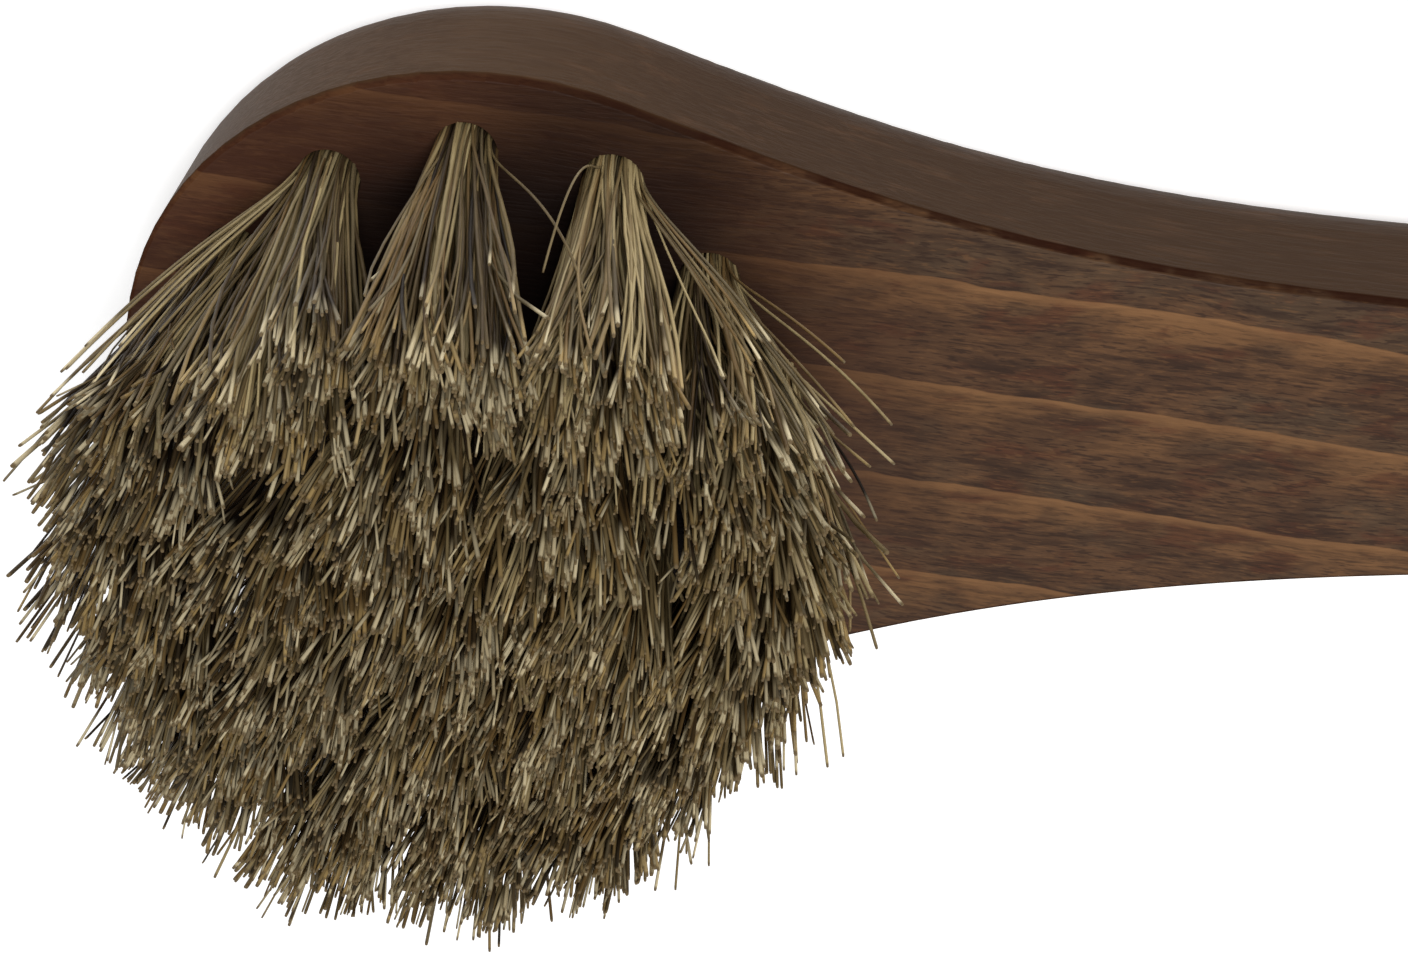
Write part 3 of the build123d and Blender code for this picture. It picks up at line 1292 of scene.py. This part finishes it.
def curve_point(start: np.ndarray, lower: np.ndarray, upper: np.ndarray, end: np.ndarray,
                share: float) -> np.ndarray:
    """Finds a point on a curve with two pulling points.

    Args:
        start: where the curve starts.
        lower: the point that pulls its first half.
        upper: the point that pulls its second half.
        end: where it ends.
        share: how far along it the point lies, from 0 to 1.

    Returns:
        The point, or one for each row.
    """
    rest = 1 - share
    return rest**3 * start + 3 * rest**2 * share * lower + 3 * rest * share**2 * upper + share**3 * end


@dataclass
class HairField:
    """All the tufts of the head.

    Attributes:
        count: how many tufts the head holds.
        leans: how far the middle of a tuft's cut end stands off its hole, in millimetres.
        side_light_shifts: painted light and shade, how much paler a tuft's hair is than the ordinary mix, by
            side of the head.
        loose: the long hairs of the tufts that have some.
    """

    count: int = 22
    leans: dict[int, tuple[float, float]] = field(default_factory=lambda: {
        1: (3.0, 0.2),
        2: (2.6, 0.0),
        3: (-0.2, 0.8),
        4: (0.9, 0.6),
        5: (1.3, 0.6),
        6: (0.6, 0.4),
        7: (-0.3, 0.0),
        8: (-0.5, 0.3),
        9: (-1.4, 1.8),
        10: (-2.4, 1.6),
        11: (-0.8, 1.0),
        12: (2.0, 1.0),
        13: (3.4, 1.8),
        14: (3.0, 0.2),
        15: (1.2, 0.2),
        21: (1.4, 0.0),
    })
    # painted light and shade: tufts on the +X side paler and those on the -X side darker, as if lit more
    # strongly from +X
    side_light_shifts: dict[int, float] = field(default_factory=lambda: {
        1: 0.06,
        2: 0.03,
        3: -0.08,
        4: -0.13,
        5: -0.13,
        6: -0.05,
        9: 0.04,
        10: 0.12,
        11: 0.17,
        12: 0.17,
        13: 0.14,
        14: 0.16,
        16: -0.11,
        17: -0.12,
        18: -0.03,
        19: 0.04,
        20: 0.13,
        21: 0.12,
    })
    loose: dict[int, tuple[LooseLock, ...]] = field(default_factory=lambda: {
        1: (LooseLock((0.8, 0.3), (6.2, 21.0, 9.5), (8.2, 17.6, 14.0), tone=0.75),),
        2: (
            LooseLock((-0.8, 0.4), (-10.6, 17.0, 9.0), (-14.0, 14.8, 17.0), 8, 0.7, 0.8),
            LooseLock((-0.7, -0.1), (-10.4, 15.4, 9.0), (-12.4, 13.6, 15.0), 8, 0.8, 0.75),
        ),
        13: (
            LooseLock((0.7, 0.5), (17.5, 13.0, 9.0), (21.8, 11.3, 14.5)),
            LooseLock((0.5, 0.2), (17.0, 12.5, 12.0), (22.0, 10.6, 16.5), tone=0.75),
            LooseLock((0.6, 0.8), (15.5, 15.0, 9.0), (19.6, 13.6, 13.0), tone=0.65),
            LooseLock((0.2, 0.8), (15.0, 14.0, 10.0), (19.0, 12.4, 16.5), 7, 0.6, 0.7),
        ),
        12: (
            LooseLock((0.8, 0.1), (19.0, 6.6, 8.0), (21.2, 6.1, 15.0), tone=0.05),
            LooseLock((0.7, -0.4), (18.6, 4.0, 9.0), (22.3, 2.2, 14.5), tone=0.7, width=0.75),
        ),
        11: (LooseLock((0.8, 0.2), (18.8, 0.0, 7.5), (21.3, -0.8, 13.0), tone=0.6, width=0.75),),
        14: (
            LooseLock((-0.2, 0.8), (7.6, 23.0, 7.0), (6.2, 18.0, 13.0), tone=0.8, width=0.75),
            LooseLock((0.8, 0.3), (12.5, 17.0, 9.0), (15.6, 14.2, 13.0), 8, 0.7, 0.7),
        ),
    })

    def build(self, finish: Horsehair) -> list[bpy.types.Object]:
        """Models every tuft.

        Args:
            finish: the hair's finish.

        Returns:
            The tufts.
        """
        shape = StrandShape()
        long_shape = StrandShape(segments=22)
        sizes = TuftSizes()
        material = finish.material()
        face_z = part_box("block")[1].z
        tip_centres = self.tip_centres()
        pieces = []
        for number in tip_centres:
            tip_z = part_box(f"hair_tuft_{number:02d}")[1].z
            loose = self.loose.get(number, ())
            shift = self.side_light_shifts.get(number, 0.0)
            tuft = Tuft(number, sizes, shape, long_shape, tip_centres, loose, shift, face_z, tip_z)
            pieces.append(tuft.build(material))
        return pieces

    def tip_centres(self) -> dict[int, np.ndarray]:
        """Finds where the middle of every tuft's cut end stands.

        Returns:
            One x and y in metres, by tuft number.
        """
        centres = {}
        for number in range(1, self.count + 1):
            lean = np.array(self.leans.get(number, (0.0, 0.0))) * MM
            centres[number] = hole_middle(number) + lean
        return centres


# ---------------------------------------------------------------------------------------------------------
# Wood and wire
# ---------------------------------------------------------------------------------------------------------


@dataclass
class Paddle:
    """The one-piece wooden block."""

    node: str = "block"

    def build(self, finish: StainedWood) -> list[bpy.types.Object]:
        """Finishes the block.

        Args:
            finish: the wood's finish.

        Returns:
            The block.
        """
        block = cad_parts[self.node]
        dress(block, finish.material())
        return [block]


@dataclass
class Anchors:
    """The flat wires that hold the folds."""

    prefix: str = "anchor_"

    def build(self, finish: DrawnWire) -> list[bpy.types.Object]:
        """Finishes every anchor.

        Args:
            finish: the wire's finish.

        Returns:
            The anchors.
        """
        material = finish.material()
        wires = [node for name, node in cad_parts.items() if name.startswith(self.prefix)]
        for wire in wires:
            dress(wire, material)
        return wires


# ---------------------------------------------------------------------------------------------------------
# Studio
# ---------------------------------------------------------------------------------------------------------


@dataclass(frozen=True)
class Lamp:
    """One soft rectangular lamp.

    Attributes:
        name: what it does.
        place: where it stands, in metres.
        size: the length of its sides, in metres.
        power: its power in watts.
        colour: its colour.
    """

    name: str
    place: tuple[float, float, float]
    size: float
    power: float
    colour: tuple[float, float, float] = (1.0, 1.0, 1.0)


@dataclass
class Studio:
    """A plain pale floor, soft lamps and the camera."""

    floor_half: float = 1.5
    floor_drop: float = 0.0003
    floor_colour: tuple = (0.9, 0.9, 0.9, 1.0)
    floor_glow: float = 0.3
    camera_place: tuple = (0.02353, 0.06672, 0.10135)
    camera_look: tuple = (-0.1084, -0.6139, -0.7819)
    camera_up: tuple = (-0.0335, 0.7884, -0.6143)
    camera_lens: float = 52.66
    lamps: tuple[Lamp, ...] = (
        Lamp("key", (0.15, 0.24, 0.43), 0.13, 2.3),
        Lamp("tip_fill", (0.10, -0.30, 0.42), 0.40, 0.5),
    )
    sky: tuple = (1.0, 1.0, 1.0, 1.0)
    sky_power: float = 0.30

    def build(self) -> None:
        """Sets up the floor, the sky, the lamps and the camera."""
        self.floor()
        self.world()
        for lamp in self.lamps:
            self.lamp(lamp)
        self.camera()
        bpy.context.scene.view_settings.view_transform = "Standard"

    def floor(self) -> None:
        """Lays the floor just under the brush."""
        deselect_all()
        bpy.ops.mesh.primitive_plane_add(size=2 * self.floor_half, location=(0, 0, -self.floor_drop))
        floor = bpy.context.object
        floor.name = "floor"
        material, graph = new_material("floor")
        shader = graph.add("ShaderNodeBsdfPrincipled", None, Base_Color=self.floor_colour, Roughness=0.9,
                           Emission_Color=self.sky, Emission_Strength=self.floor_glow)
        graph.add("ShaderNodeOutputMaterial", None, Surface=shader.outputs[0])
        floor.data.materials.append(material)

    def world(self) -> None:
        """Lights everything from all round with a pale sky."""
        world = bpy.data.worlds.new("studio")
        world.use_nodes = True
        graph = Graph(world.node_tree)
        back = graph.add("ShaderNodeBackground", None, Color=self.sky, Strength=self.sky_power)
        graph.add("ShaderNodeOutputWorld", None, Surface=back.outputs[0])
        bpy.context.scene.world = world

    def lamp(self, lamp: Lamp) -> None:
        """Places a lamp and turns it to the head.

        Args:
            lamp: the lamp to place.
        """
        data = bpy.data.lights.new(lamp.name, "AREA")
        data.shape = "SQUARE"
        data.size = lamp.size
        data.energy = lamp.power
        data.color = lamp.colour
        light = bpy.data.objects.new(lamp.name, data)
        light.location = lamp.place
        light.rotation_mode = "QUATERNION"
        light.rotation_quaternion = (-Vector(lamp.place)).to_track_quat("-Z", "Y")
        bpy.context.scene.collection.objects.link(light)

    def camera(self) -> None:
        """Places the camera over the head."""
        look = Vector(self.camera_look).normalized()
        right = look.cross(Vector(self.camera_up)).normalized()
        up = right.cross(look)
        turn = Matrix((right, up, -look)).transposed()
        data = bpy.data.cameras.new("camera")
        data.lens = self.camera_lens
        data.sensor_width = 36.0
        data.clip_start = 0.005
        data.clip_end = 10.0
        camera = bpy.data.objects.new("camera", data)
        camera.matrix_world = Matrix.Translation(self.camera_place) @ turn.to_4x4()
        bpy.context.scene.collection.objects.link(camera)
        bpy.context.scene.camera = camera


def main() -> None:
    """Builds the studio and the brush, and reports every piece."""
    logging.basicConfig(level=logging.INFO, format="%(name)s: %(message)s")
    Studio().build()
    pieces = Paddle().build(StainedWood())
    pieces += Anchors().build(DrawnWire())
    pieces += HairField().build(Horsehair())
    for piece in pieces:
        log.info("%s: %d faces", piece.name, len(piece.data.polygons))


if __name__ == "__main__":
    main()
